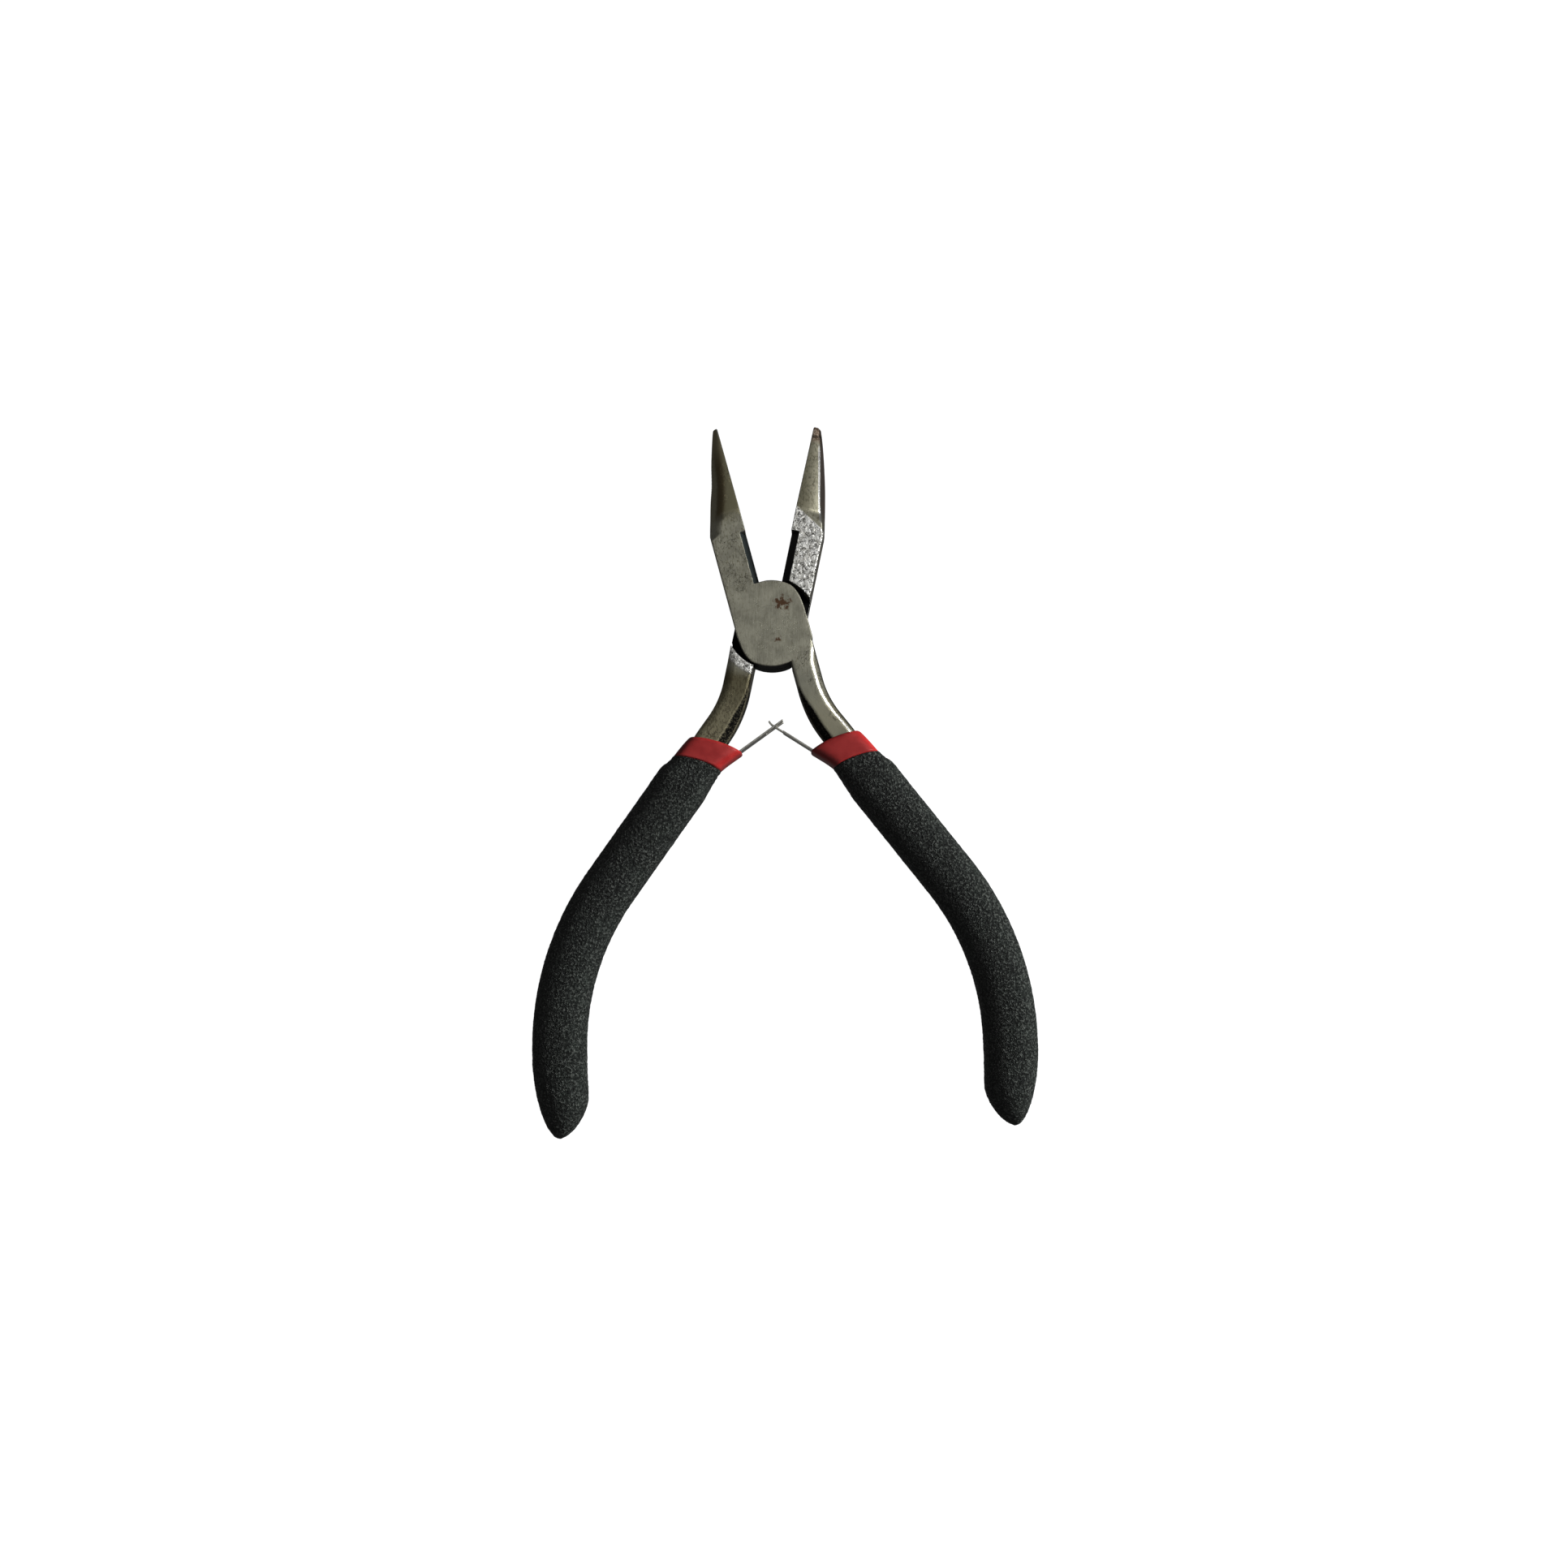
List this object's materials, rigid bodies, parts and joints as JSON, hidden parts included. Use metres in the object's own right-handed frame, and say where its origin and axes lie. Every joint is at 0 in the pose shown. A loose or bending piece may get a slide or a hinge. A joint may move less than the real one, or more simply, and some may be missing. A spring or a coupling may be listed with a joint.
{
  "type": "mini long nose pliers",
  "caption": "Small lap-joint jewellery pliers with half-round tapered noses, a side cutter, sprung handles, red collars and soft black bowed grips.",
  "frame": {"origin": "on the rivet's axis, on the flat back face of the lap joint", "axes": "+Z out of the joint's front face, +Y along the tool from the pivot to the jaws, +X to the right as seen from the front"},
  "size_m": [0.0874, 0.1241, 0.0107],
  "materials": {
    "forged_steel": "ground flats with fine grind lines, small pits and black oxide in the recesses",
    "spring_steel": "rolled strip, dull bright",
    "red_pvc": "glossy dipped vinyl, dark red",
    "black_foam": "matt, fine-grained soft foam skin"
  },
  "bodies": {
    "front_half": {"front_lever": "forged_steel", "pivot_rivet": "forged_steel", "sleeve_right": "red_pvc", "grip_right": "black_foam", "spring_root_right": "spring_steel", "spring_rivet_right": "spring_steel"},
    "back_half": {"back_lever": "forged_steel", "sleeve_left": "red_pvc", "grip_left": "black_foam", "spring_root_left": "spring_steel", "spring_rivet_left": "spring_steel"},
    "leaf_left": {"spring_leaf_left": "spring_steel"},
    "leaf_right": {"spring_leaf_right": "spring_steel"}
  },
  "joints": [
    {"name": "jaw_pivot", "type": "hinge", "parent": "front_half", "child": "back_half", "pos_m": [0, 0, 0], "axis": [0, 0, 1], "range_deg": [-6, 26.8], "stiffness_Nm_per_rad": 1},
    {"name": "leaf_left_flex", "type": "hinge", "parent": "back_half", "child": "leaf_left", "pos_m": [-0.00648, -0.02222, 0.0042], "axis": [0, 0, 1], "range_deg": [-8, 34]},
    {"name": "leaf_right_flex", "type": "hinge", "parent": "front_half", "child": "leaf_right", "pos_m": [0.00648, -0.02222, 0.0042], "axis": [0, 0, 1], "range_deg": [-34, 8]}
  ],
  "couplings": [
    {"joint": "leaf_left_flex", "follows": "jaw_pivot", "ratio": 1.25},
    {"joint": "leaf_right_flex", "follows": "jaw_pivot", "ratio": -1.25}
  ]
}
